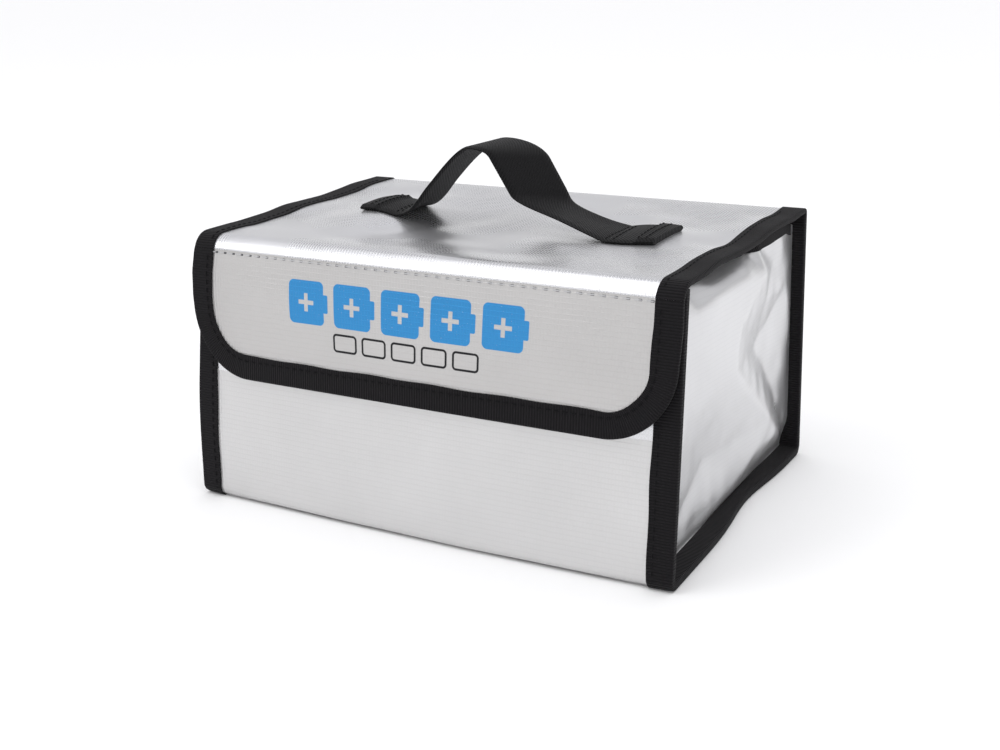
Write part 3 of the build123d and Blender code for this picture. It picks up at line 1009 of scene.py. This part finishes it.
# --------------------------------------------------------------------- closure strips
# A long loop strip is sewn to the front wall and a hook strip of the same size behind
# the flap. The strips are black, fuzzy on one side and bristly on the other.
fuzz, given, made = new_group(
    "pile",
    [("Place", "Vector", None), ("Tuft", "Float", 1.6)],
    [("Height", "Float"), ("Shade", "Float")],
)
fuzz.feed(made["Height"], fuzz.noise(given["Place"], given["Tuft"], 4.0, 0.7))
fuzz.feed(made["Shade"], fuzz.noise(given["Place"], 0.12, 2.0))


def pile(name, tuft, depth):
    """A black closure strip with tufts at tuft per millimetre, depth millimetres tall."""
    material, wires, shader, place = new_material(name)
    tufts = use_group(wires, "pile", Place=place, Tuft=tuft)
    wires.relief(shader, wires.times(tufts["Height"], depth))
    # Painted shade: the tufts' tips are lighter and their roots darker, varied by a slow noise.
    relief_shading = wires.times(tufts["Height"], wires.plus(tufts["Shade"], 0.3))
    black = wires.mix(relief_shading, (0.003, 0.003, 0.0035, 1), (0.03, 0.029, 0.031, 1))
    wires.feed_all(shader, {"Base Color": black, "Roughness": 0.9})
    wires.feed_all(shader, {"Specular IOR Level": 0.1, "Sheen Weight": 0.12})
    return material


closures = (
    ("loop_tape", "loop_strip", "bag", on_front, -0.3, pile("loop_pile", 0.8, 0.9)),
    ("hook_tape", "hook_strip", "flap", on_flap, 1.8, pile("hook_pile", 1.5, 0.7)),
)
closure_low, closure_high = (corner[2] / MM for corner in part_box("loop_strip"))
closure_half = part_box("loop_strip")[1][0] / MM
for name, node, body, on_cloth, depth, material in closures:
    down = steps(on_cloth(closure_high), on_cloth(closure_low))
    s, x = np.meshgrid(down, steps(-closure_half, closure_half), indexing="ij")
    tape = cloth_panel(name, strip_at(depth), s, x, 0.9, material)
    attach(tape, body)
    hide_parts(node)

# ---------------------------------------------------------------------------- handle
# One length of twill webbing is sewn flat to the lid at both ends and stands up between
# them in a crooked arch, with a kink on its right where it was folded in the packet.
webbing_thick = 1.5
handle_y = sway_joint["pos_m"][1] / MM
webbing_half = 15.0
lid_face = lid_height - layer
# The strap leaves the left tab, rises to its crest, drops from its shoulder to its knee and
# runs low to the right tab. It is twisted, so its front edge turns down before its back edge.
flat_level = webbing_thick / 2
crest_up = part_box("handle_grip")[1][2] / MM - lid_face - webbing_thick / 2
left_end, left_foot, left_ease = -62.0, -46.0, 12.0
crest_at, crest_ease = -3.0, 12.0
shoulder_at, shoulder_up = 11.0, 27.0
knee_at, knee_up, knee_turn = 20.0, 12.5, 0.25
right_foot, right_end, right_ease = 54.0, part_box("right_handle_anchor")[1][0] / MM, 0.6
left_tab_back = 7.0                         # the left tab is sewn on further back
twist = 6.5


def strap_edge(lean):
    """One edge of the strap from its left end to its right, as places (x, up)."""
    start, foot = np.array((left_end, flat_level)), np.array((left_foot - lean * 0.12, flat_level))
    crest = np.array((crest_at + lean * 0.25, crest_up))
    shoulder = np.array((shoulder_at + lean, shoulder_up - lean * 0.25))
    knee = np.array((knee_at + lean, knee_up - lean * 0.3))
    low, end = np.array((right_foot, flat_level)), np.array((right_end, flat_level))
    drop, run = knee - shoulder, low - knee
    spans = [
        (start, start, foot, foot),
        (foot, foot + (left_ease, 0), crest - (crest_ease + lean * 0.6, 0), crest),
        (crest, crest + (shoulder - crest) * (0.6, 0), shoulder - drop * 0.15, shoulder),
        (shoulder, shoulder + drop * 0.3, knee - drop * 0.3, knee),
        (knee, knee + drop * knee_turn, low - run * right_ease, low),
        (low, low, end, end),
    ]
    t = np.linspace(0, 1, 60)[:, None]
    shares = ((1 - t) ** 3, 3 * (1 - t) ** 2 * t, 3 * (1 - t) * t**2, t**3)
    return np.vstack([sum(share * point for share, point in zip(shares, span)) for span in spans])


def in_even_steps(pairs, count):
    """Pairs of places, one on each edge, in even steps along the line between the edges."""
    between = (pairs[:, :2] + pairs[:, 2:]) / 2
    run = np.concatenate(([0], np.linalg.norm(np.diff(between, axis=0), axis=1).cumsum()))
    even = np.linspace(0, run[-1], count)
    return np.stack([np.interp(even, run, pairs[:, i]) for i in range(4)], -1), even


def lid_lift(x, y):
    """How far the lid's cloth face stands above its flat height."""
    return strip(back_fold + fold_y - y, x, layer)[..., 2] - lid_face


edges, handle_run = in_even_steps(np.hstack((strap_edge(-twist), strap_edge(twist))), 200)
# The strap's ends are turned under, so they are thicker, and its selvedges are rounded.
ends = np.minimum(handle_run, handle_run[-1] - handle_run)
thick = webbing_thick * (1 + 0.6 * (1 - ease(ends, 7, 9)))
wide = np.linspace(-1, 1, 17)
corner = np.sqrt(np.clip(1 - np.clip((np.abs(wide) - 0.95) / 0.05, 0, 1) ** 2, 0, 1)) * 0.75 + 0.25
slip = np.linalg.norm(edges[:, 2:] - edges[:, :2], axis=1) / 2
half_wide = np.sqrt(webbing_half**2 - slip**2)
share = (wide[None, :] + 1) / 2
strap_x = edges[:, :1] * (1 - share) + edges[:, 2:3] * share
strap_up = edges[:, 1:2] * (1 - share) + edges[:, 3:] * share
strap_y = handle_y + half_wide[:, None] * wide[None, :] + left_tab_back * (1 - ease(strap_x, left_end, -10))
strap_z = lid_face + strap_up + lid_lift(strap_x, strap_y) * (1 - ease(strap_up, 2, 14))
middle = np.stack((strap_x, strap_y, strap_z), -1)
upward = np.cross(np.gradient(middle, axis=1), np.gradient(middle, axis=0))
upward /= np.linalg.norm(upward, axis=-1, keepdims=True)
upward *= np.where(upward[:, :, 2].mean() > 0, 1, -1)
rise = (thick[:, None] / 2 * corner[None, :])[..., None]
folded_in = ((thick - webbing_thick) / 2)[:, None, None]
upper, lower = middle + upward * (rise + folded_in), middle - upward * (rise - folded_in)
rows = np.concatenate((upper, lower[:, ::-1]), axis=1)
section = np.concatenate((wide, wide[::-1]))
count, around = rows.shape[:2]
index = np.arange(count * around).reshape(count, around)
after = np.roll(index, -1, axis=1)
faces = np.stack((index[:-1], after[:-1], after[1:], index[1:]), -1).reshape(-1, 4).tolist()
for row in (0, -1):
    for i in range(around // 2 - 1):
        faces.append([int(index[row, j]) for j in (i, i + 1, around - 2 - i, around - 1 - i)])
cloth = np.zeros(rows.shape)
cloth[..., 0] = section * webbing_half
cloth[..., 1] = handle_run[:, None]
webbing = woven("twill_webbing", (0.0032, 0.0030, 0.0036), 0.6, 1.5, 1.0, 0.75, 0.24)
strap = finish_mesh("handle_strap", rows.reshape(-1, 3), faces, cloth.reshape(-1, 3), webbing)
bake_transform(strap)
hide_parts("left_handle_anchor", "right_handle_anchor", "handle_grip")

# -------------------------------------------------------------------------- stitching
# Lockstitch in twisted thread: grey along the flap's seam and under the yoke, black on
# the tapes and the handle. Each stitch dives into the cloth at both ends.


def thread(name, dark, light):
    """Twisted sewing thread between two linear colours, with painted shade: the twist's crests take the light
    one and its grooves the dark one.
    """
    material, wires, shader, place = new_material(name)
    twist = use_group(wires, "woven ribs", Place=place, Pitch=0.4, Slant=0.8, Yarn=0.3)
    relief_shading = wires.mix(twist["Height"], (*dark, 1), (*light, 1))
    wires.feed_all(shader, {"Base Color": relief_shading, "Roughness": 0.7, "Specular IOR Level": 0.1})
    return material


def sew(name, rows, pitch, length, radius, material):
    """Stitches along rows, each a pair of lines: on the cloth and a millimetre below it."""
    places, cloth, faces = [], [], []
    spin = np.radians(np.arange(0, 360, 60))
    half = ((0.3, 1.0, 0.5), (0.8, 0.8, 0.15), (1.0, 0.35, -0.3))      # share along, fatness, lift
    stations = [(-share, fat, lift) for share, fat, lift in half[::-1]] + list(half)
    for upper, lower in rows:
        run = np.concatenate(([0], np.linalg.norm(np.diff(upper, axis=0), axis=1).cumsum()))
        seats = np.arange(pitch / 2, run[-1] - pitch / 3, pitch)
        for seat in seats:
            here, ahead, under = (
                np.array([np.interp(d, run, line[:, i]) for i in range(3)])
                for d, line in ((seat, upper), (seat + 0.3, upper), (seat, lower))
            )
            along = (ahead - here) / np.linalg.norm(ahead - here)
            up = (here - under) / np.linalg.norm(here - under)
            aside = np.cross(up, along)
            first = len(places)
            for share, fat, lift in stations:
                middle = here + along * share * length / 2 + up * lift * radius
                for angle in spin:
                    places.append(middle + (aside * math.cos(angle) + up * math.sin(angle)) * radius * fat)
                    cloth.append((angle * radius, seat + share * length / 2, 0))
            for ring in range(len(stations) - 1):
                for i in range(6):
                    a, b = first + ring * 6 + i, first + ring * 6 + (i + 1) % 6
                    faces.append((a, b, b + 6, a + 6))
            faces.append(tuple(first + i for i in range(5, -1, -1)))
            faces.append(tuple(first + (len(stations) - 1) * 6 + i for i in range(6)))
    return finish_mesh(name, np.array(places), faces, np.array(cloth), material)


def on_strip(s, x, depth):
    """A stitch row on the strip as its two lines."""
    return strip(s, x, depth), strip(s, x, depth + 1)


grey_thread = thread("grey_thread", (0.30, 0.30, 0.31), (0.55, 0.55, 0.56))
black_thread = thread("black_thread", (0.002, 0.002, 0.002), (0.008, 0.008, 0.009))
seam_margin = 2.2
tape_stitch = (3.4, 2.4, 0.24)              # pitch, length and radius

level = steps(-94, 94)
yoke_row = np.full(level.shape, shell_start - 2.6)
yoke_level = layer - yoke_rise * (1 - ease(np.abs(level), 91, 96))
yoke_thread = sew("yoke_thread", [on_strip(yoke_row, level, yoke_level)], 3.6, 2.4, 0.25, grey_thread)
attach(yoke_thread, "bag")
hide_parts("yoke_stitches")

level = steps(-seam_row_half, seam_row_half)
seam_line = on_strip(np.full(level.shape, seam_row), level, layer)
seam_thread = sew("flap_seam_thread", [seam_line], seam_pitch, 2.9, 0.24, grey_thread)
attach(seam_thread, "flap")
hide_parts("flap_seam_stitches")

rows = []
for left_row in (5, 9, 22, 26):
    for row in (left_row, len(middle) - 1 - left_row):
        seat = middle[row, 1:-1] + upward[row, 1:-1] * (thick[row] - webbing_thick / 2)
        rows.append([seat, seat - upward[row, 1:-1]])
tab_thread = sew("handle_tab_thread", rows, 3.0, 2.3, 0.26, black_thread)
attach(tab_thread, "lid")
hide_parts("handle_stitches")

in_leg = half_length - tape_leg + seam_margin
wall_rows, lid_rows = [], []
for side in (-1, 1):
    run = steps(2, on_back(split_z) - 1, 2.0)
    pressed = 0.45 * ease(run, front_foot - 6, front_foot - 1) * (1 - ease(run, back_foot + 1, back_foot + 6))
    wall_rows.append(on_strip(run, np.full(run.shape, side * in_leg), pressed))
    run = steps(lid_start + 1, seam_at - 1, 1.2)
    lid_rows.append(on_strip(run, np.full(run.shape, side * in_leg), 0.0))
for name, body, lines in (("wall_tape_thread", "bag", wall_rows), ("lid_tape_thread", "lid", lid_rows)):
    seam = sew(name, lines, *tape_stitch, black_thread)
    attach(seam, body)
strip_margin = 1.8
for name, body, on_cloth, above, below in (
    ("loop_tape_thread", "bag", on_front, -0.3, 0.7),
    ("hook_tape_thread", "flap", on_flap, 2.7, 1.7),
):
    ends = (on_cloth(closure_high) + strip_margin, on_cloth(closure_low) - strip_margin)
    sides = (-closure_half + strip_margin, closure_half - strip_margin)
    across, down = steps(-closure_half + 2, closure_half - 2), steps(*ends, 1.5)
    lines = [(np.full(across.shape, end), across) for end in ends]
    lines += [(down, np.full(down.shape, side)) for side in sides]
    rows = [(strip(s, x, above), strip(s, x, below)) for s, x in lines]
    seam = sew(name, rows, *tape_stitch, black_thread)
    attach(seam, body)
x, s, in_x, in_s = flap_edge(steps(2, whole_run - 2, 1.5))
inset = tape_leg - seam_margin
ring_line = on_strip(s + in_s * inset, x + in_x * inset, 0.0)
ring_thread = sew("flap_tape_thread", [ring_line], *tape_stitch, black_thread)
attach(ring_thread, "flap")
